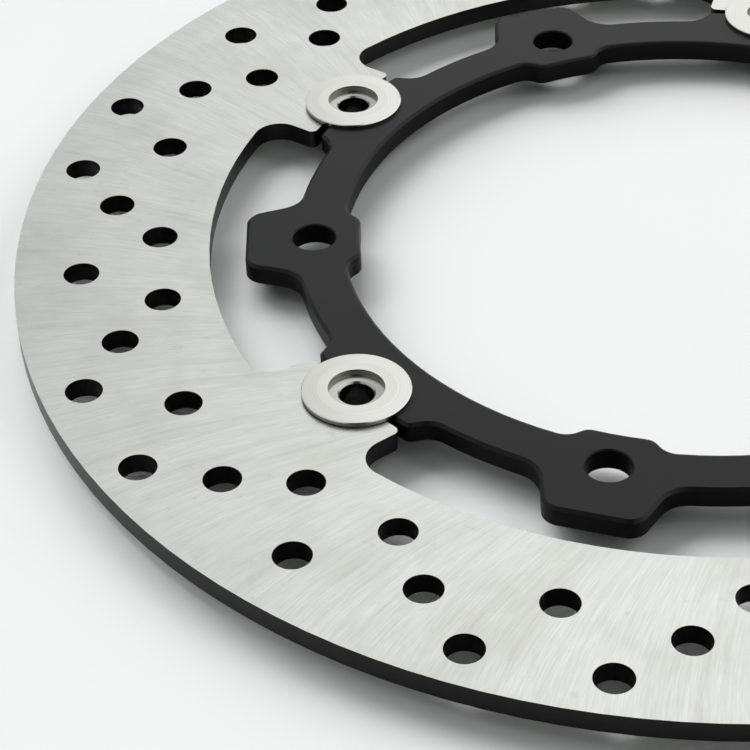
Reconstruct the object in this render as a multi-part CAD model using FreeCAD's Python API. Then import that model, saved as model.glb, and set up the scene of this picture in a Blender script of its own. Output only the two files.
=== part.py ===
"""Floating brake disc rotor: a drilled friction ring carried on a five-bolt carrier by five bobbins.

Millimetres.  +Z points to the outer face of the wheel, the side that the bobbins' flanges stand on.
The origin is the centre of the carrier's hub face, the flat back that is bolted to the wheel hub.
Each bobbin is a flanged bush, held from behind by a flat washer, a wave washer and a circlip.
"""

import FreeCAD, Part
import math
import os
from FreeCAD import Vector

# ---- Hub interface ----
station_count = 5
bolt_circle_radius = 75.0
bolt_hole_radius = 4.25
bolt_hole_chamfer = 0.25
spigot_radius = 66.0

# ---- Bobbin stations ----
bobbin_circle_radius = 82.8
bobbin_body_radius = 7.0
running_clearance = 0.05
ring_float = 0.25

# ---- Friction ring ----
ring_outer_radius = 133.5
ring_thickness = 4.0
boss_window_clearance = 7.2
lobe_window_clearance = 12.0
ear_half_width = 13.7
ear_setback = 1.35
ear_corner_radius = 1.3
ear_root_radius = 5.25

# ---- Drilling of the friction ring: the row of each hole in one group, counted outwards ----
drill_radius = 3.5
drill_rows = (0, 3, 0, 2, 4, 1, 4, 2)
drill_group_count = 8
first_hole_angle = -1.05
inner_land = 9.9
outer_land = 8.0

# ---- Carrier ----
outline_setback = 4.1
pad_height = 3.2
outline_chamfer = 0.6
opening_edge_radius = 0.8
opening_chamfer = 0.3
boss_end_land = 13.4
boss_tip_half_width = 8.6
boss_flank_angle = 17.0
boss_corner_radius = 3.6
boss_root_radius = 6.0
lobe_setback = 0.15
lobe_tip_half_width = 13.0
lobe_flank_angle = 25.0
lobe_corner_radius = 1.7
lobe_root_radius = 4.5
pad_half_width = 6.3
pad_flank_angle = 45.0
pad_corner_radius = 3.0
pad_root_radius = 4.0

# ---- Bobbins ----
flange_overlap = 3.1
flange_thickness = 0.9
flange_crown_width = 2.8
flange_crown_drop = 0.12
flange_edge_chamfer = 0.15
socket_radius = 5.25
socket_depth = 1.15
socket_floor_fall = 0.2
socket_groove_depth = 0.25
socket_groove_width = 0.3
socket_lip = 0.4
bobbin_bore_radius = 3.2
bobbin_bore_chamfer = 0.3
tail_length = 0.5
tail_chamfer = 0.3

# ---- Washers and circlip stacked behind each bobbin ----
stack_clearance = 0.02
washer_thickness = 0.5
washer_bore_clearance = 0.15
wave_thickness = 0.25
wave_height = 0.9
wave_overlap = 2.4
wave_count = 3
circlip_thickness = 1.0
circlip_width = 1.7
circlip_groove_depth = 0.6
circlip_half_gap_angle = 13.0
circlip_lug_radius = 1.3
circlip_lug_hole_radius = 0.6

# ---- Sizes that follow from those above ----
seat_radius = bobbin_body_radius + running_clearance
flange_radius = bobbin_body_radius + flange_overlap
washer_bore_radius = bobbin_body_radius + washer_bore_clearance
groove_radius = bobbin_body_radius - circlip_groove_depth
boss_end_radius = bolt_circle_radius + boss_end_land
lobe_radius = bobbin_circle_radius - lobe_setback
ear_tip_radius = bobbin_circle_radius + ear_setback
ring_inner_radius = max(boss_end_radius + boss_window_clearance, lobe_radius + lobe_window_clearance)
carrier_outline_radius = bobbin_circle_radius - outline_setback
carrier_bore_radius = spigot_radius + pad_height

# ---- Heights of the faces, from the carrier's hub face at zero ----
ring_underside = ring_float
carrier_top = ring_thickness + 2 * ring_float
flange_top = carrier_top + flange_thickness
wave_top = -washer_thickness - stack_clearance
wave_bottom = wave_top - wave_height
circlip_top = wave_bottom - stack_clearance
circlip_bottom = circlip_top - circlip_thickness
groove_top = circlip_top + stack_clearance
groove_bottom = circlip_bottom - stack_clearance
tail_end = groove_bottom - tail_length

STATION_STEP = 360 / station_count
BOBBIN_ANGLES = [k * STATION_STEP for k in range(station_count)]
BOLT_ANGLES = [(k + 0.5) * STATION_STEP for k in range(station_count)]
CENTRE = Vector(0, 0, 0)
UP = Vector(0, 0, 1)
TOUCH = 1e-3


def at(radius, degrees):
    """The point at this radius and angle about the disc's axis, on the hub face's plane."""
    angle = math.radians(degrees)
    return Vector(radius * math.cos(angle), radius * math.sin(angle), 0)


def turned(shape, angles):
    """Copies of a shape turned about the disc's axis, one at each angle."""
    copies = []
    for angle in angles:
        copy = shape.copy()
        copy.rotate(CENTRE, UP, angle)
        copies.append(copy)
    return copies


def disc(radius, bottom, top, centre=CENTRE):
    """An upright cylinder between two heights."""
    return Part.makeCylinder(radius, top - bottom, Vector(centre.x, centre.y, bottom))


def annulus(outer_radius, inner_radius, bottom, top, centre=CENTRE):
    """A flat ring between two heights."""
    return disc(outer_radius, bottom, top, centre).cut(disc(inner_radius, bottom, top, centre))


def face_through(points):
    """The flat face inside the closed outline through these points."""
    return Part.Face(Part.makePolygon(points + points[:1]))


def turning(profile, centre=CENTRE):
    """The solid turned from (radius, height) points about an upright axis through the centre."""
    points = [Vector(centre.x + radius, centre.y, height) for radius, height in profile]
    return face_through(points).revolve(centre, UP, 360)


def wedge(tip_distance, tip_half_width, flank_angle, bottom, top):
    """A plate from the disc's axis out along X, with flanks that lean by an angle to its tip."""
    root_half_width = tip_half_width + tip_distance * math.tan(math.radians(flank_angle))
    points = [
        Vector(0, -root_half_width, bottom),
        Vector(tip_distance, -tip_half_width, bottom),
        Vector(tip_distance, tip_half_width, bottom),
        Vector(0, root_half_width, bottom),
    ]
    return face_through(points).extrude(Vector(0, 0, top - bottom))


def one_solid(shape):
    """The single solid that a cut or a union should leave, with its split faces merged."""
    solids = shape.removeSplitter().Solids
    if len(solids) != 1:
        raise RuntimeError(f"expected one solid and found {len(solids)}")
    return solids[0]


def rounded(solid, radius, nearest, furthest):
    """The solid with its upright corners between two distances from the axis rounded."""
    wanted = []
    for edge in solid.Edges:
        upright = isinstance(edge.Curve, Part.Line) and edge.BoundBox.ZLength > edge.Length - TOUCH
        between_two_faces = len(solid.ancestorsOfType(edge, Part.Face)) == 2
        distance = math.hypot(edge.CenterOfMass.x, edge.CenterOfMass.y)
        if upright and between_two_faces and nearest < distance < furthest:
            wanted.append(edge)
    return solid.makeFillet(radius, wanted) if wanted else solid


def ring_blank():
    """The friction band with an inward ear at each bobbin, not yet drilled."""
    bottom, top = ring_underside, ring_underside + ring_thickness
    ear = wedge(ring_inner_radius + TOUCH, ear_half_width, 0, bottom, top)
    ears = [ear.cut(disc(ear_tip_radius, bottom, top)) for ear in turned(ear, BOBBIN_ANGLES)]
    blank = one_solid(annulus(ring_outer_radius, ring_inner_radius, bottom, top).fuse(ears))
    middle = (ear_tip_radius + ring_inner_radius) / 2
    blank = rounded(blank, ear_root_radius, middle, ring_inner_radius + TOUCH)
    return rounded(blank, ear_corner_radius, 0, middle)


def drill_centres():
    """Centres of the drilled holes: one group of rows, repeated round the ring."""
    first_row = ring_inner_radius + inner_land
    row_pitch = (ring_outer_radius - outer_land - first_row) / max(drill_rows)
    hole_count = drill_group_count * len(drill_rows)
    centres = []
    for index in range(hole_count):
        row = drill_rows[index % len(drill_rows)]
        centres.append(at(first_row + row * row_pitch, first_hole_angle + index * 360 / hole_count))
    return centres


def make_friction_ring():
    """Drilled ring, with half of each bobbin's seat in the tip of each ear."""
    bottom, top = ring_underside, ring_underside + ring_thickness
    holes = [disc(drill_radius, bottom, top, centre) for centre in drill_centres()]
    seats = [disc(seat_radius, bottom, top, at(bobbin_circle_radius, a)) for a in BOBBIN_ANGLES]
    return one_solid(ring_blank().cut(holes + seats))


def round_plate_with(arm, angles, root_radius, corner_radius):
    """The carrier's round plate with an arm at each angle, rounded at its roots and its tip corners."""
    plate = disc(carrier_outline_radius, 0, carrier_top)
    plate = one_solid(plate.fuse(turned(arm, angles)))
    plate = rounded(plate, corner_radius, carrier_outline_radius + TOUCH, ring_outer_radius)
    return rounded(plate, root_radius, carrier_outline_radius - TOUCH, carrier_outline_radius + TOUCH)


def level_edges(solid, furthest, height=None):
    """The solid's level edges within a distance from the axis, all of them or those at one height."""
    wanted = []
    for edge in solid.Edges:
        distances = [math.hypot(corner.X, corner.Y) for corner in edge.Vertexes]
        level = edge.BoundBox.ZLength < TOUCH
        at_height = height is None or abs(edge.BoundBox.ZMin - height) < TOUCH
        if level and at_height and max(distances) < furthest:
            wanted.append(edge)
    return wanted


def hub_opening():
    """The space inside the carrier: a bore with a pad at each bolt that centres it on the hub."""
    flare = math.tan(math.radians(pad_flank_angle))
    apex = spigot_radius - pad_half_width / flare
    root_half_width = (carrier_bore_radius - apex) * flare
    pad = face_through([
        Vector(apex, 0, 0),
        Vector(carrier_bore_radius, -root_half_width, 0),
        Vector(carrier_bore_radius, root_half_width, 0),
    ]).extrude(Vector(0, 0, carrier_top))
    opening = disc(carrier_bore_radius, 0, carrier_top).cut(turned(pad, BOLT_ANGLES))
    opening = one_solid(opening.fuse(disc(spigot_radius, 0, carrier_top)))
    middle = (spigot_radius + carrier_bore_radius) / 2
    opening = rounded(opening, pad_root_radius, middle, carrier_bore_radius + TOUCH)
    return rounded(opening, pad_corner_radius, spigot_radius - TOUCH, middle)


def carrier_plate():
    """The carrier's plate with eased edges, a boss at each bolt and a lobe at each bobbin."""
    boss = wedge(boss_end_radius, boss_tip_half_width, boss_flank_angle, 0, carrier_top)
    lobe = wedge(lobe_radius, lobe_tip_half_width, lobe_flank_angle, 0, carrier_top)
    lobe = lobe.common(disc(lobe_radius, 0, carrier_top))
    bosses = round_plate_with(boss, BOLT_ANGLES, boss_root_radius, boss_corner_radius)
    lobes = round_plate_with(lobe, BOBBIN_ANGLES, lobe_root_radius, lobe_corner_radius)
    plate = one_solid(bosses.fuse(lobes))
    plate = plate.makeChamfer(outline_chamfer, level_edges(plate, ring_outer_radius))
    plate = one_solid(plate.cut(hub_opening()))
    reach = carrier_bore_radius + TOUCH
    plate = plate.makeFillet(opening_edge_radius, level_edges(plate, reach, carrier_top))
    return plate.makeChamfer(opening_chamfer, level_edges(plate, reach, 0))


def bolt_hole(centre):
    """A through hole for a hub bolt, chamfered at both faces."""
    rim = bolt_hole_radius + bolt_hole_chamfer
    return turning([
        (0, 0),
        (rim, 0),
        (bolt_hole_radius, bolt_hole_chamfer),
        (bolt_hole_radius, carrier_top - bolt_hole_chamfer),
        (rim, carrier_top),
        (0, carrier_top),
    ], centre)


def make_carrier():
    """Carrier with its bolt holes and the inner half of each bobbin's seat."""
    cuts = [bolt_hole(at(bolt_circle_radius, a)) for a in BOLT_ANGLES]
    cuts += [disc(seat_radius, 0, carrier_top, at(bobbin_circle_radius, a)) for a in BOBBIN_ANGLES]
    return one_solid(carrier_plate().cut(cuts))


def make_bobbin(centre):
    """Flanged bush: body, crowned flange with a socket in it, through bore and circlip groove."""
    crown_edge = flange_top - flange_crown_drop
    socket_floor = flange_top - socket_depth
    bore_rim = socket_floor - socket_floor_fall
    groove_roof = flange_top - socket_lip
    groove_floor = groove_roof - socket_groove_width
    groove_wall = socket_radius + socket_groove_depth
    return turning([
        (socket_radius, flange_top),
        (flange_radius - flange_crown_width, flange_top),
        (flange_radius - flange_edge_chamfer, crown_edge),
        (flange_radius, crown_edge - flange_edge_chamfer),
        (flange_radius, carrier_top),
        (bobbin_body_radius, carrier_top),
        (bobbin_body_radius, groove_top),
        (groove_radius, groove_top),
        (groove_radius, groove_bottom),
        (bobbin_body_radius, groove_bottom),
        (bobbin_body_radius, tail_end + tail_chamfer),
        (bobbin_body_radius - tail_chamfer, tail_end),
        (bobbin_bore_radius + bobbin_bore_chamfer, tail_end),
        (bobbin_bore_radius, tail_end + bobbin_bore_chamfer),
        (bobbin_bore_radius, bore_rim - bobbin_bore_chamfer),
        (bobbin_bore_radius + bobbin_bore_chamfer, bore_rim),
        (socket_radius, socket_floor),
        (socket_radius, groove_floor),
        (groove_wall, groove_floor),
        (groove_wall, groove_roof),
        (socket_radius, groove_roof),
    ], centre)


def make_flat_washer(centre):
    """Flat washer under the carrier's and the ring's backs, as wide as the flange above it."""
    return annulus(flange_radius, washer_bore_radius, -washer_thickness, 0, centre)


def wave_edge(radius, middle_height, centre):
    """One closed edge of the wave washer, rising and falling as it goes round."""
    swing = (wave_height - wave_thickness) / 2
    point_count = 12 * wave_count
    points = []
    for index in range(point_count):
        degrees = index * 360 / point_count
        height = middle_height + swing * math.cos(math.radians(wave_count * degrees))
        points.append(centre + at(radius, degrees) + Vector(0, 0, height))
    curve = Part.BSplineCurve()
    curve.interpolate(points, PeriodicFlag=True)
    return curve.toShape()


def make_wave_washer(centre):
    """Thin spring washer, waved round its circle, that keeps the ring from rattling."""
    middle = (wave_top + wave_bottom) / 2
    inner, outer = washer_bore_radius, bobbin_body_radius + wave_overlap
    low, high = middle - wave_thickness / 2, middle + wave_thickness / 2
    edges = [wave_edge(r, z, centre) for r, z in ((inner, low), (outer, low), (outer, high), (inner, high))]
    faces = [Part.makeRuledSurface(edges[k - 1], edges[k]) for k in range(len(edges))]
    return Part.makeSolid(Part.makeShell(faces))


def make_circlip(centre):
    """Open retaining ring, snapped into the bobbin's groove, with a holed lug at each end."""
    inner = groove_radius + stack_clearance
    outer = inner + circlip_width
    ring = annulus(outer, inner, circlip_bottom, circlip_top)
    lug_angle = circlip_half_gap_angle + math.degrees(circlip_lug_radius / outer)
    lug_places = [at(outer, side * lug_angle) for side in (-1, 1)]
    lugs = [disc(circlip_lug_radius, circlip_bottom, circlip_top, place) for place in lug_places]
    holes = [disc(circlip_lug_hole_radius, circlip_bottom, circlip_top, place) for place in lug_places]
    gap = face_through([
        Vector(0, 0, circlip_bottom),
        at(2 * outer, -circlip_half_gap_angle) + Vector(0, 0, circlip_bottom),
        at(2 * outer, circlip_half_gap_angle) + Vector(0, 0, circlip_bottom),
    ]).extrude(Vector(0, 0, circlip_thickness))
    clip = ring.fuse(lugs).cut(holes + [gap, disc(inner, circlip_bottom, circlip_top)])
    clip = one_solid(clip)
    clip.translate(centre)
    return clip


def main():
    os.makedirs("parts", exist_ok=True)
    nodes = {"friction_ring": make_friction_ring(), "carrier": make_carrier()}
    for number, angle in enumerate(BOBBIN_ANGLES, start=1):
        centre = at(bobbin_circle_radius, angle)
        nodes[f"bobbin_{number}"] = make_bobbin(centre)
        nodes[f"flat_washer_{number}"] = make_flat_washer(centre)
        nodes[f"wave_washer_{number}"] = make_wave_washer(centre)
        nodes[f"circlip_{number}"] = make_circlip(centre)
    for name, shape in nodes.items():
        if not shape.isValid():
            raise RuntimeError(f"{name} is not a valid solid")
        shape.exportStep(f"parts/{name}.step")


main()
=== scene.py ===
"""Looks of a floating motorcycle brake disc, laid out as a Blender add-on and run as a script.

The drilled friction ring is ground stainless steel with blackened edges, the carrier is black
anodised aluminium, and the bobbins that join them are turned stainless steel.  Everything is in
metres, with the disc's axis along Z and its outer face up.
"""

import math

import bpy
from bpy.props import FloatProperty, FloatVectorProperty, PointerProperty
from mathutils import Matrix, Vector


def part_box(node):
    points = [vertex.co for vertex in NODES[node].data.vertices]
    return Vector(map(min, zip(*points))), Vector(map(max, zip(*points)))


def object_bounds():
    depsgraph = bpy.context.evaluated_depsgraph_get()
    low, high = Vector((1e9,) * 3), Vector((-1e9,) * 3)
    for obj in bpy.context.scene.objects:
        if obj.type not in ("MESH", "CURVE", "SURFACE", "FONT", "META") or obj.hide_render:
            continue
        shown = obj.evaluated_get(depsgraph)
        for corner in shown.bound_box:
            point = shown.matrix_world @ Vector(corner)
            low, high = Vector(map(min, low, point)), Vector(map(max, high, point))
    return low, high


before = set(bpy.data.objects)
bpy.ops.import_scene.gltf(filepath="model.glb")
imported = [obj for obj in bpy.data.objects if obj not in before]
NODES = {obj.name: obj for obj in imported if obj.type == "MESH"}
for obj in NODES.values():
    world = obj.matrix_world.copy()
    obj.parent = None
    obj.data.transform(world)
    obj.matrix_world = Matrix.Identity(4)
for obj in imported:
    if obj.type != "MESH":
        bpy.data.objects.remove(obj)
cad_low, cad_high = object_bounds()

bl_info = {
    "name": "Floating brake disc looks",
    "version": (1, 0, 0),
    "blender": (4, 5, 0),
    "location": "3D View > Sidebar > Brake disc",
    "description": "Gives a floating brake disc its metal finishes, light and camera",
    "category": "Material",
}

MM = 0.001

# ---- Places on the disc where a finish or a painted shade changes ----
FRICTION_BAND = 36 * MM
SOCKET_RADIUS = 5.6 * MM
SOCKET_HEIGHT = 4.7 * MM
BORE_RADIUS = 3.35 * MM
# How nearly a face's normal has to lie along the disc's axis for the face to count as level.
LEVEL_FACE = 0.5
# How level a carrier face must be to keep its full sheen; steeper walls get the painted shade.
CARRIER_LEVEL_FACE = 0.3

# ---- Stage: the lamps stand far off and are very large, so that they light the table evenly ----
TABLE_HALF_WIDTH = 3.0
LAMP_DISTANCE = 44.0
LAMP_SIZE = 36.0
# Each lamp's name, its heading and height in degrees, and its share of the lamp setting.
LAMPS = (("back", 112, 35, 0.95), ("left", 146, 28, 0.5), ("right", 20, 32, 0.32))
CAMERA_AIM = Vector((-63.6, -43.8, 4.25)) * MM
CAMERA_DISTANCE = 457.3 * MM
CAMERA_HEADING = math.radians(-0.533)
CAMERA_ELEVATION = math.radians(38.56)
CAMERA_ROLL = math.radians(-2.05)
CAMERA_CLIP_START = 0.01


# ---------------------------------------------------------------- colours and nodes


def srgb(text):
    """An sRGB hex colour as linear red, green and blue."""
    channels = [int(text[i:i + 2], 16) / 255 for i in (1, 3, 5)]
    return tuple(c / 12.92 if c <= 0.04045 else ((c + 0.055) / 1.055) ** 2.4 for c in channels)


def colour(name, text, words):
    return FloatVectorProperty(name=name, description=words, subtype="COLOR", min=0, max=1, default=srgb(text))


def share(name, value, words):
    return FloatProperty(name=name, description=words, subtype="FACTOR", min=0, max=1, default=value)


def length(name, millimetres, words):
    return FloatProperty(name=name, description=words, unit="LENGTH", min=0, default=millimetres * MM)


def angle(name, degrees, words):
    return FloatProperty(name=name, description=words, subtype="ANGLE", default=math.radians(degrees))


def add_node(tree, kind, inputs=(), **options):
    """Adds a node, sets its options, and gives each input a value, a socket or another node's result."""
    made = tree.nodes.new(kind)
    for option, value in options.items():
        setattr(made, option, value)
    for name, value in dict(inputs).items():
        if isinstance(value, bpy.types.Node):
            value = next(socket for socket in value.outputs if socket.enabled)
        if isinstance(value, bpy.types.NodeSocket):
            tree.links.new(value, made.inputs[name])
        else:
            made.inputs[name].default_value = value
    return made


def new_material(name):
    """An empty node material and its output node."""
    material = bpy.data.materials.new(name)
    material.use_nodes = True
    material.node_tree.nodes.clear()
    output = add_node(material.node_tree, "ShaderNodeOutputMaterial")
    return material, material.node_tree, output


def rgba(three):
    return (*three, 1.0)


def give(material, names):
    """Puts the material on CAD nodes in place of their own."""
    for name in names:
        NODES[name].data.materials.clear()
        NODES[name].data.materials.append(material)


def stations(kind):
    return sorted(name for name in NODES if name.startswith(kind + "_"))


# ---------------------------------------------------------------- settings


class FrictionRingSettings(bpy.types.PropertyGroup):
    steel: colour("Steel", "#f6f7f2", "Colour of the ground stainless faces")
    stain: colour("Stain", "#d9d9d1", "Colour of the faint clouds left by the coolant")
    black: colour("Blackened edge", "#0b0b0a", "Colour of the coated rim, windows and hole walls")
    streak_width: length("Streak width", 0.34, "Spacing of the grinding marks round the ring")
    streak_length: length("Streak length", 6.0, "Length of a grinding mark")
    curl: angle("Curl", 20.0, "How far the marks lean from the radius at the inner edge")
    roughness: share("Roughness", 0.3, "Roughness of the ground faces")


class CarrierSettings(bpy.types.PropertyGroup):
    black: colour("Black", "#0d0d0d", "Colour of the dyed anodic film")
    roughness: share("Roughness", 0.32, "Roughness of the anodic film")
    grain: length("Grain", 0.35, "Size of the matt grain left by blasting")


class BobbinSettings(bpy.types.PropertyGroup):
    steel: colour("Steel", "#f5f4ee", "Colour of the turned stainless steel")
    side: colour("Side", "#8f8e88", "Colour of the sides and bores left as turned")
    # Painted shade: the side colour darkens the bobbins' walls and bores to stand for the shade and dark
    # reflections they catch.
    tool_pitch: length("Tool pitch", 0.28, "Distance between turning marks")
    roughness: share("Roughness", 0.19, "Roughness of the turned faces")


class WasherSettings(bpy.types.PropertyGroup):
    steel: colour("Steel", "#c9c8c2", "Colour of the tumbled flat washers")
    roughness: share("Roughness", 0.38, "Roughness of the tumbled faces")


class SpringSettings(bpy.types.PropertyGroup):
    steel: colour("Steel", "#5a544c", "Colour of the oiled spring steel")


class StageSettings(bpy.types.PropertyGroup):
    floor: colour("Floor", "#f4f7f6", "Colour of the pale table")
    sky: FloatProperty(name="Sky", description="Strength of the even light from all round", min=0, default=0.18)
    lamp: FloatProperty(name="Lamp", description="Radiance of the back softbox", min=0, default=5.05)
    lens: FloatProperty(name="Lens", description="Focal length in millimetres", min=1, default=119.9)


SETTING_GROUPS = {
    "disc_ring": FrictionRingSettings,
    "disc_carrier": CarrierSettings,
    "disc_bobbin": BobbinSettings,
    "disc_washer": WasherSettings,
    "disc_spring": SpringSettings,
    "disc_stage": StageSettings,
}


# ---------------------------------------------------------------- materials


def ground_stainless_with_blackened_edges(settings):
    """Ground 420 stainless: bright faces crossed by fine swept grinding marks, walls left black.

    The ring is coated all over and then ground flat, so only the faces show bare steel.
    """
    material, tree, output = new_material("ground_stainless_with_blackened_edges")
    place = add_node(tree, "ShaderNodeTexCoord").outputs["Object"]
    x, y, _ = add_node(tree, "ShaderNodeSeparateXYZ", {"Vector": place}).outputs
    outward = add_node(tree, "ShaderNodeVectorMath", {0: place, 1: (1, 1, 0)}, operation="MULTIPLY")
    radius = add_node(tree, "ShaderNodeVectorMath", {0: outward}, operation="LENGTH")
    around = add_node(tree, "ShaderNodeMath", {0: y, 1: x}, operation="ARCTAN2")

    # The marks leave the rim square to it and lean over as they run in, as under a turning cup wheel.
    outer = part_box("friction_ring")[1].x
    inner = outer - FRICTION_BAND
    bend = math.tan(settings.curl) / (2 * inner * (outer - inner))
    short = add_node(tree, "ShaderNodeMath", {0: outer, 1: radius}, operation="SUBTRACT")
    swept = add_node(tree, "ShaderNodeMath", {0: short, 1: short}, operation="MULTIPLY")
    turn = add_node(tree, "ShaderNodeMath", {0: swept, 1: -bend, 2: around}, operation="MULTIPLY_ADD")
    reach = add_node(tree, "ShaderNodeMath", {0: short, 1: radius}, operation="MULTIPLY")
    lean = add_node(tree, "ShaderNodeMath", {0: reach, 1: 2 * bend}, operation="MULTIPLY")
    leaning = add_node(tree, "ShaderNodeVectorMath", {0: outward, "Scale": lean}, operation="SCALE")
    round_ring = add_node(tree, "ShaderNodeVectorMath", {0: (0, 0, 1), 1: place}, operation="CROSS_PRODUCT")
    across = add_node(tree, "ShaderNodeVectorMath", {0: leaning, 1: round_ring}, operation="ADD")

    # The ring unrolled along the marks.  Real marks are a few hundredths of a millimetre wide, too fine
    # to show, and are drawn about ten times coarser.
    cosine = add_node(tree, "ShaderNodeMath", {0: turn}, operation="COSINE")
    sine = add_node(tree, "ShaderNodeMath", {0: turn}, operation="SINE")
    spiral = add_node(tree, "ShaderNodeCombineXYZ", {"X": cosine, "Y": sine, "Z": radius})
    widths = outer / settings.streak_width
    unrolled = add_node(tree, "ShaderNodeVectorMath", {
        0: spiral, 1: (widths, widths, 1 / settings.streak_length)}, operation="MULTIPLY")
    streaks = add_node(tree, "ShaderNodeTexNoise", {
        "Vector": unrolled, "Scale": 1.0, "Detail": 3.0, "Roughness": 0.6})

    # Faint dulling: coolant clouds some 14 mm across, spots of 2.6 mm, and passes eight marks wide.
    clouds = add_node(tree, "ShaderNodeTexNoise", {
        "Vector": place, "Scale": 1 / (14 * MM), "Detail": 3.0, "Roughness": 0.55})
    spots = add_node(tree, "ShaderNodeTexNoise", {
        "Vector": place, "Scale": 1 / (2.6 * MM), "Detail": 2.0, "Roughness": 0.5})
    passes = add_node(tree, "ShaderNodeTexNoise", {
        "Vector": unrolled, "Scale": 0.13, "Detail": 2.0, "Roughness": 0.5})
    soiled = 0.0
    dulling = ((clouds, 0.42, 0.75, 0.55), (spots, 0.68, 0.78, 0.45), (passes, 0.5, 0.75, 0.4))
    for pattern, low, high, most in dulling:
        amount = add_node(tree, "ShaderNodeMapRange", {
            "Value": pattern, "From Min": low, "From Max": high, "To Min": 0.0, "To Max": most})
        soiled = add_node(tree, "ShaderNodeMath", {0: soiled, 1: amount}, operation="ADD")

    dulled = add_node(tree, "ShaderNodeMix", {
        0: soiled, 6: rgba(settings.steel), 7: rgba(settings.stain)}, data_type="RGBA")
    depth = add_node(tree, "ShaderNodeMapRange", {
        "Value": streaks, "From Min": 0.3, "From Max": 0.7, "To Min": 0.0, "To Max": 0.4})
    shade = add_node(tree, "ShaderNodeMix", {0: depth, 6: dulled, 7: rgba(srgb("#d0d1ca"))}, data_type="RGBA")
    bump = add_node(tree, "ShaderNodeBump", {"Height": streaks, "Strength": 0.25, "Distance": 0.02 * MM})
    gloss = add_node(tree, "ShaderNodeMapRange", {
        "Value": streaks, "From Min": 0.3, "From Max": 0.7,
        "To Min": settings.roughness - 0.05, "To Max": settings.roughness + 0.06})
    faces = add_node(tree, "ShaderNodeBsdfPrincipled", {
        "Base Color": shade, "Metallic": 1.0, "Anisotropic": 0.55, "Tangent": across, "Normal": bump,
        "Roughness": gloss})

    # The coating's texture is finer than a tenth of a millimetre, and is drawn at half a millimetre.
    grit = add_node(tree, "ShaderNodeTexNoise", {
        "Vector": place, "Scale": 1 / (0.5 * MM), "Detail": 3.0, "Roughness": 0.6})
    grit_bump = add_node(tree, "ShaderNodeBump", {"Height": grit, "Strength": 0.3, "Distance": 0.03 * MM})
    worn = add_node(tree, "ShaderNodeMapRange", {
        "Value": grit, "From Min": 0.35, "From Max": 0.7, "To Min": 0.0, "To Max": 0.5})
    black = add_node(tree, "ShaderNodeMix", {
        0: worn, 6: rgba(settings.black), 7: rgba(srgb("#151514"))}, data_type="RGBA")
    walls = add_node(tree, "ShaderNodeBsdfPrincipled", {
        "Base Color": black, "Roughness": 0.32, "Specular IOR Level": 0.2, "Normal": grit_bump})

    normal = add_node(tree, "ShaderNodeNewGeometry").outputs["True Normal"]
    upright = add_node(tree, "ShaderNodeSeparateXYZ", {"Vector": normal}).outputs["Z"]
    level = add_node(tree, "ShaderNodeMath", {0: upright}, operation="ABSOLUTE")
    ground = add_node(tree, "ShaderNodeMath", {0: level, 1: LEVEL_FACE}, operation="GREATER_THAN")
    mix = add_node(tree, "ShaderNodeMixShader", {0: ground, 1: walls, 2: faces})
    tree.links.new(mix.outputs[0], output.inputs["Surface"])
    return material


def black_anodised_aluminium(settings):
    """Blasted and black anodised 6061: an even satin black that greys where it mirrors a pale room."""
    material, tree, output = new_material("black_anodised_aluminium")
    place = add_node(tree, "ShaderNodeTexCoord").outputs["Object"]
    # Blasting leaves dents of a tenth of a millimetre or less, drawn coarser by the grain setting.
    grain = add_node(tree, "ShaderNodeTexNoise", {
        "Vector": place, "Scale": 1 / settings.grain, "Detail": 2.0, "Roughness": 0.6})
    cloud = add_node(tree, "ShaderNodeTexNoise", {
        "Vector": place, "Scale": 1 / (20 * MM), "Detail": 2.0, "Roughness": 0.5})
    faded = add_node(tree, "ShaderNodeMapRange", {
        "Value": cloud, "From Min": 0.35, "From Max": 0.7, "To Min": 0.0, "To Max": 1.0})
    tone = add_node(tree, "ShaderNodeMix", {
        0: faded, 6: rgba(settings.black), 7: rgba(srgb("#111111"))}, data_type="RGBA")
    bump = add_node(tree, "ShaderNodeBump", {"Height": grain, "Strength": 0.2, "Distance": 0.02 * MM})
    gloss = add_node(tree, "ShaderNodeMapRange", {
        "Value": grain, "From Min": 0.3, "From Max": 0.7,
        "To Min": settings.roughness - 0.03, "To Max": settings.roughness + 0.05})
    film = add_node(tree, "ShaderNodeBsdfPrincipled", {
        "Base Color": tone, "Specular IOR Level": 0.29, "Normal": bump, "Roughness": gloss})
    # Painted shade: the walls are given a dimmer reflection than the level faces, to stand for the shaded table
    # that they mirror.
    painted_shade_walls = add_node(tree, "ShaderNodeBsdfPrincipled", {
        "Base Color": tone, "Specular IOR Level": 0.08, "Roughness": 0.4, "Normal": bump})
    normal = add_node(tree, "ShaderNodeNewGeometry").outputs["True Normal"]
    upright = add_node(tree, "ShaderNodeSeparateXYZ", {"Vector": normal}).outputs["Z"]
    level = add_node(tree, "ShaderNodeMath", {0: upright}, operation="ABSOLUTE")
    level_faces = add_node(tree, "ShaderNodeMath", {0: level, 1: CARRIER_LEVEL_FACE}, operation="GREATER_THAN")
    mix = add_node(tree, "ShaderNodeMixShader", {0: level_faces, 1: painted_shade_walls, 2: film})
    tree.links.new(mix.outputs[0], output.inputs["Surface"])
    return material


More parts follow.
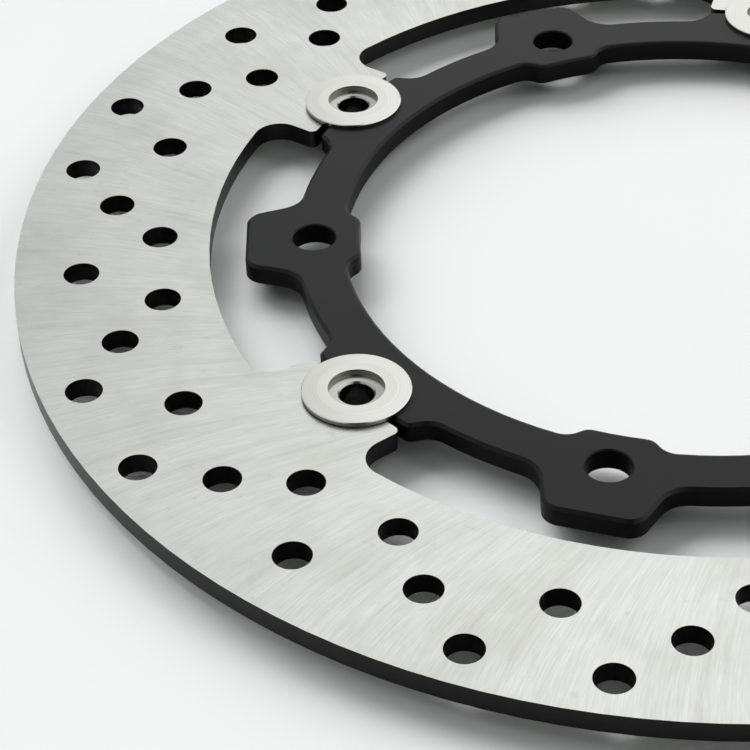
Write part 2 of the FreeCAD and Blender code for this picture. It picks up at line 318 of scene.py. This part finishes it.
def turned_stainless(settings, name, centre):
    """Turned 303 stainless: fine tool rings round one bobbin's own axis, with painted shade in the socket, on
    the walls and down the bore.
    """
    material, tree, output = new_material(name)
    place = add_node(tree, "ShaderNodeTexCoord").outputs["Object"]
    offset = add_node(tree, "ShaderNodeVectorMath", {0: place, 1: centre}, operation="SUBTRACT")
    z = add_node(tree, "ShaderNodeSeparateXYZ", {"Vector": offset}).outputs["Z"]
    outward = add_node(tree, "ShaderNodeVectorMath", {0: offset, 1: (1, 1, 0)}, operation="MULTIPLY")
    radius = add_node(tree, "ShaderNodeVectorMath", {0: outward}, operation="LENGTH")

    # Turning marks lie about a tenth of a millimetre apart, and are drawn coarser by the tool pitch.
    travel = add_node(tree, "ShaderNodeMath", {0: radius, 1: z}, operation="ADD")
    along = add_node(tree, "ShaderNodeMath", {0: travel, 1: 1 / settings.tool_pitch}, operation="MULTIPLY")
    line = add_node(tree, "ShaderNodeCombineXYZ", {"X": along})
    rings = add_node(tree, "ShaderNodeTexNoise", {
        "Vector": line, "Scale": 1.0, "Detail": 2.0, "Roughness": 0.7})
    depth = add_node(tree, "ShaderNodeMapRange", {
        "Value": rings, "From Min": 0.3, "From Max": 0.7, "To Min": 0.0, "To Max": 1.0})
    faced = add_node(tree, "ShaderNodeMix", {
        0: depth, 6: rgba(settings.steel), 7: rgba(srgb("#e4e3dc"))}, data_type="RGBA")

    # Painted shade: the socket's floor, the walls and the drilled bore are each drawn darker than the faced
    # flange, to stand for the shade and dark reflections down in them.
    narrow = add_node(tree, "ShaderNodeMath", {0: radius, 1: SOCKET_RADIUS}, operation="LESS_THAN")
    low = add_node(tree, "ShaderNodeMath", {0: z, 1: SOCKET_HEIGHT}, operation="LESS_THAN")
    socket_shade_mask = add_node(tree, "ShaderNodeMath", {0: narrow, 1: low}, operation="MULTIPLY")
    socket_shaded = add_node(tree, "ShaderNodeMix", {0: socket_shade_mask, 6: faced, 7: rgba(srgb("#cbcac4"))}, data_type="RGBA")
    normal = add_node(tree, "ShaderNodeNewGeometry").outputs["True Normal"]
    upright = add_node(tree, "ShaderNodeSeparateXYZ", {"Vector": normal}).outputs["Z"]
    level = add_node(tree, "ShaderNodeMath", {0: upright}, operation="ABSOLUTE")
    wall = add_node(tree, "ShaderNodeMath", {0: level, 1: LEVEL_FACE}, operation="LESS_THAN")
    # The walls take the painted shade of the side colour.
    side_shaded = add_node(tree, "ShaderNodeMix", {0: wall, 6: socket_shaded, 7: rgba(settings.side)}, data_type="RGBA")
    # The bore's walls take a deeper painted shade.
    inside = add_node(tree, "ShaderNodeMath", {0: radius, 1: BORE_RADIUS}, operation="LESS_THAN")
    bore_shade_mask = add_node(tree, "ShaderNodeMath", {0: inside, 1: wall}, operation="MULTIPLY")
    tone = add_node(tree, "ShaderNodeMix", {0: bore_shade_mask, 6: side_shaded, 7: rgba(srgb("#6b6963"))}, data_type="RGBA")

    bump = add_node(tree, "ShaderNodeBump", {"Height": rings, "Strength": 0.3, "Distance": 0.02 * MM})
    steel = add_node(tree, "ShaderNodeBsdfPrincipled", {
        "Base Color": tone, "Metallic": 1.0, "Anisotropic": 0.6, "Normal": bump, "Tangent": outward,
        "Roughness": settings.roughness})
    tree.links.new(steel.outputs[0], output.inputs["Surface"])
    return material


def tumbled_washer_steel(settings):
    """Tumbled stainless strip: dull bright metal with tiny random dings."""
    material, tree, output = new_material("tumbled_washer_steel")
    place = add_node(tree, "ShaderNodeTexCoord").outputs["Object"]
    # Tumbling dings are a few tenths of a millimetre wide, and are drawn about twice as wide.
    dings = add_node(tree, "ShaderNodeTexNoise", {
        "Vector": place, "Scale": 1 / (0.8 * MM), "Detail": 3.0, "Roughness": 0.6})
    worn = add_node(tree, "ShaderNodeMapRange", {
        "Value": dings, "From Min": 0.35, "From Max": 0.7, "To Min": 0.0, "To Max": 1.0})
    tone = add_node(tree, "ShaderNodeMix", {
        0: worn, 6: rgba(settings.steel), 7: rgba(srgb("#aeada7"))}, data_type="RGBA")
    bump = add_node(tree, "ShaderNodeBump", {"Height": dings, "Strength": 0.3, "Distance": 0.02 * MM})
    steel = add_node(tree, "ShaderNodeBsdfPrincipled", {
        "Base Color": tone, "Metallic": 1.0, "Roughness": settings.roughness, "Normal": bump})
    tree.links.new(steel.outputs[0], output.inputs["Surface"])
    return material


def oiled_spring_steel(settings):
    """Hardened spring steel, blued and oiled: dark brown-grey with a soft shine."""
    material, tree, output = new_material("oiled_spring_steel")
    place = add_node(tree, "ShaderNodeTexCoord").outputs["Object"]
    blue = add_node(tree, "ShaderNodeTexNoise", {
        "Vector": place, "Scale": 1 / (3.0 * MM), "Detail": 3.0, "Roughness": 0.6})
    blued = add_node(tree, "ShaderNodeMapRange", {
        "Value": blue, "From Min": 0.3, "From Max": 0.7, "To Min": 0.0, "To Max": 1.0})
    tone = add_node(tree, "ShaderNodeMix", {
        0: blued, 6: rgba(settings.steel), 7: rgba(srgb("#3f3d3c"))}, data_type="RGBA")
    gloss = add_node(tree, "ShaderNodeMapRange", {
        "Value": blue, "From Min": 0.3, "From Max": 0.7, "To Min": 0.3, "To Max": 0.42})
    steel = add_node(tree, "ShaderNodeBsdfPrincipled", {
        "Base Color": tone, "Metallic": 1.0, "Roughness": gloss})
    tree.links.new(steel.outputs[0], output.inputs["Surface"])
    return material


def pale_matt_table(settings):
    """Matt white laminate: an even pale ground that shows through to camera and mirrors alike."""
    material, tree, output = new_material("pale_matt_table")
    place = add_node(tree, "ShaderNodeTexCoord").outputs["Object"]
    mottle = add_node(tree, "ShaderNodeTexNoise", {
        "Vector": place, "Scale": 1 / (60 * MM), "Detail": 2.0, "Roughness": 0.5})
    tone = add_node(tree, "ShaderNodeMix", {
        0: mottle, 6: rgba(settings.floor), 7: rgba(srgb("#f1f3f3"))}, data_type="RGBA")
    table = add_node(tree, "ShaderNodeBsdfPrincipled", {
        "Base Color": tone, "Roughness": 0.7, "Specular IOR Level": 0.05})
    tree.links.new(table.outputs[0], output.inputs["Surface"])
    return material


# ---------------------------------------------------------------- operators


class FinishFrictionRing(bpy.types.Operator):
    """Gives the friction ring its ground faces and blackened edges"""

    bl_idname = "disc.finish_friction_ring"
    bl_label = "Finish friction ring"

    def execute(self, context):
        give(ground_stainless_with_blackened_edges(context.scene.disc_ring), ["friction_ring"])
        return {"FINISHED"}


class FinishCarrier(bpy.types.Operator):
    """Gives the carrier its black anodised film"""

    bl_idname = "disc.finish_carrier"
    bl_label = "Finish carrier"

    def execute(self, context):
        give(black_anodised_aluminium(context.scene.disc_carrier), ["carrier"])
        return {"FINISHED"}


class FinishBobbins(bpy.types.Operator):
    """Gives each bobbin turned steel with rings round its own axis"""

    bl_idname = "disc.finish_bobbins"
    bl_label = "Finish bobbins"

    def execute(self, context):
        for name in stations("bobbin"):
            low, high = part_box(name)
            middle = (low + high) / 2
            label = "turned_stainless_" + name[-1]
            give(turned_stainless(context.scene.disc_bobbin, label, (middle.x, middle.y, 0)), [name])
        return {"FINISHED"}


class FinishFlatWashers(bpy.types.Operator):
    """Gives the flat washers their tumbled steel"""

    bl_idname = "disc.finish_flat_washers"
    bl_label = "Finish flat washers"

    def execute(self, context):
        give(tumbled_washer_steel(context.scene.disc_washer), stations("flat_washer"))
        return {"FINISHED"}


class FinishSprings(bpy.types.Operator):
    """Gives the wave washers and circlips their oiled spring steel"""

    bl_idname = "disc.finish_springs"
    bl_label = "Finish springs"

    def execute(self, context):
        give(oiled_spring_steel(context.scene.disc_spring), stations("wave_washer") + stations("circlip"))
        return {"FINISHED"}


class SetStage(bpy.types.Operator):
    """Lays the table under the disc and sets the light and the camera"""

    bl_idname = "disc.set_stage"
    bl_label = "Set stage"

    def execute(self, context):
        settings = context.scene.disc_stage
        make_table(settings)
        make_lights(context.scene, settings)
        make_camera(context.scene, settings)
        context.scene.view_settings.view_transform = "Standard"
        return {"FINISHED"}


def make_table(settings):
    """A wide flat table whose top is where the disc's lowest point rests."""
    half = TABLE_HALF_WIDTH
    corners = [(-half, -half), (half, -half), (half, half), (-half, half)]
    mesh = bpy.data.meshes.new("table")
    mesh.from_pydata([(x, y, cad_low.z) for x, y in corners], [], [(0, 1, 2, 3)])
    table = bpy.data.objects.new("table", mesh)
    table.data.materials.append(pale_matt_table(settings))
    bpy.context.scene.collection.objects.link(table)


def make_lights(scene, settings):
    """Even light from a white room, with large soft lamps behind the disc and to both sides."""
    world = bpy.data.worlds.new("white_room")
    scene.world = world
    world.use_nodes = True
    tree = world.node_tree
    tree.nodes.clear()
    way = add_node(tree, "ShaderNodeTexCoord").outputs["Generated"]
    across, along, height = add_node(tree, "ShaderNodeSeparateXYZ", {"Vector": way}).outputs

    # What the metal mirrors: a pale room, greyer to one side, in front and straight overhead.
    white = rgba(srgb("#fcfdfd"))
    side = add_node(tree, "ShaderNodeMapRange", {
        "Value": across, "From Min": -0.2, "From Max": 0.03, "To Min": 0.0, "To Max": 1.0})
    walls = add_node(tree, "ShaderNodeMix", {0: side, 6: rgba(srgb("#c0c2c2")), 7: white}, data_type="RGBA")
    depth = add_node(tree, "ShaderNodeMapRange", {
        "Value": along, "From Min": -0.75, "From Max": -0.2, "To Min": 0.0, "To Max": 1.0})
    front_wall = add_node(tree, "ShaderNodeMix", {
        0: depth, 6: rgba(srgb("#9c9d9d")), 7: walls}, data_type="RGBA")
    overhead = add_node(tree, "ShaderNodeMapRange", {
        "Value": height, "From Min": 0.86, "From Max": 1.0, "To Min": 0.0, "To Max": 1.0})
    ceiling = add_node(tree, "ShaderNodeMix", {
        0: overhead, 6: front_wall, 7: rgba(srgb("#c4c5c5"))}, data_type="RGBA")

    # A dark doorway, which puts the dark bands in the bobbins' sockets.
    front = add_node(tree, "ShaderNodeVectorMath", {0: way, 1: (0, -0.63, 0.776)}, operation="DOT_PRODUCT")
    doorway = add_node(tree, "ShaderNodeMapRange", {
        "Value": front, "From Min": math.cos(math.radians(20)), "From Max": math.cos(math.radians(12)),
        "To Min": 0.0, "To Max": 1.0})
    mirrored = add_node(tree, "ShaderNodeMix", {
        0: doorway, 6: ceiling, 7: rgba(srgb("#202020"))}, data_type="RGBA")

    # The room is plain white to the camera and through glass, and dim to the light it sheds.
    path = add_node(tree, "ShaderNodeLightPath").outputs
    seen = add_node(tree, "ShaderNodeMath", {
        0: path["Is Camera Ray"], 1: path["Is Transmission Ray"]}, operation="MAXIMUM")
    plain = add_node(tree, "ShaderNodeMath", {0: seen, 1: path["Is Glossy Ray"]}, operation="MAXIMUM")
    tint = add_node(tree, "ShaderNodeMix", {
        0: path["Is Glossy Ray"], 6: white, 7: mirrored}, data_type="RGBA")
    strength = add_node(tree, "ShaderNodeMath", {
        0: plain, 1: 1 - settings.sky, 2: settings.sky}, operation="MULTIPLY_ADD")
    room = add_node(tree, "ShaderNodeBackground", {"Color": tint, "Strength": strength})
    out = add_node(tree, "ShaderNodeOutputWorld")
    tree.links.new(room.outputs[0], out.inputs["Surface"])
    aim = (cad_low + cad_high) / 2
    for name, heading, rise, part in LAMPS:
        turn, tilt = math.radians(heading), math.radians(rise)
        ray = Vector((math.cos(turn) * math.cos(tilt), math.sin(turn) * math.cos(tilt), math.sin(tilt)))
        place_lamp(scene, name + "_softbox", aim + ray * LAMP_DISTANCE, aim, LAMP_SIZE, settings.lamp * part)


def place_lamp(scene, name, place, aim, size, radiance):
    """A square lamp at a place, turned to face the aim, with the given radiance."""
    lamp = bpy.data.lights.new(name, "AREA")
    lamp.shape = "SQUARE"
    lamp.size = size
    lamp.energy = radiance * math.pi * size * size
    thing = bpy.data.objects.new(name, lamp)
    thing.location = place
    thing.visible_glossy = False
    thing.rotation_euler = (aim - place).to_track_quat("-Z", "Y").to_euler()
    scene.collection.objects.link(thing)


def make_camera(scene, settings):
    """A long lens that looks down across one side of the disc."""
    forward = Vector((
        math.sin(CAMERA_HEADING) * math.cos(CAMERA_ELEVATION),
        math.cos(CAMERA_HEADING) * math.cos(CAMERA_ELEVATION),
        -math.sin(CAMERA_ELEVATION),
    ))
    level_right = forward.cross(Vector((0, 0, 1))).normalized()
    level_up = level_right.cross(forward)
    right = level_right * math.cos(CAMERA_ROLL) + level_up * math.sin(CAMERA_ROLL)
    up = level_up * math.cos(CAMERA_ROLL) - level_right * math.sin(CAMERA_ROLL)
    camera = bpy.data.objects.new("camera", bpy.data.cameras.new("camera"))
    camera.data.lens = settings.lens
    camera.data.clip_start = CAMERA_CLIP_START
    turn = Matrix((right, up, -forward)).transposed().to_4x4()
    camera.matrix_world = Matrix.Translation(CAMERA_AIM - forward * CAMERA_DISTANCE) @ turn
    scene.collection.objects.link(camera)
    scene.camera = camera


class DiscPanel(bpy.types.Panel):
    """Lists the steps and settings of the brake disc's looks"""

    bl_idname = "VIEW3D_PT_brake_disc"
    bl_label = "Brake disc"
    bl_space_type = "VIEW_3D"
    bl_region_type = "UI"
    bl_category = "Brake disc"

    def draw(self, context):
        for operator in OPERATORS:
            self.layout.operator(operator.bl_idname)
        for group, kind in SETTING_GROUPS.items():
            box = self.layout.box()
            for name in kind.__annotations__:
                box.prop(getattr(context.scene, group), name)


OPERATORS = (SetStage, FinishFrictionRing, FinishCarrier, FinishBobbins, FinishFlatWashers, FinishSprings)


def register():
    for kind in (*SETTING_GROUPS.values(), *OPERATORS, DiscPanel):
        bpy.utils.register_class(kind)
    for group, kind in SETTING_GROUPS.items():
        setattr(bpy.types.Scene, group, PointerProperty(type=kind))


def unregister():
    for group in SETTING_GROUPS:
        delattr(bpy.types.Scene, group)
    for kind in (DiscPanel, *OPERATORS, *SETTING_GROUPS.values()):
        bpy.utils.unregister_class(kind)


def main():
    """Registers the add-on and runs each step in order."""
    register()
    bpy.ops.disc.set_stage()
    bpy.ops.disc.finish_friction_ring()
    bpy.ops.disc.finish_carrier()
    bpy.ops.disc.finish_bobbins()
    bpy.ops.disc.finish_flat_washers()
    bpy.ops.disc.finish_springs()


if __name__ == "__main__":
    main()
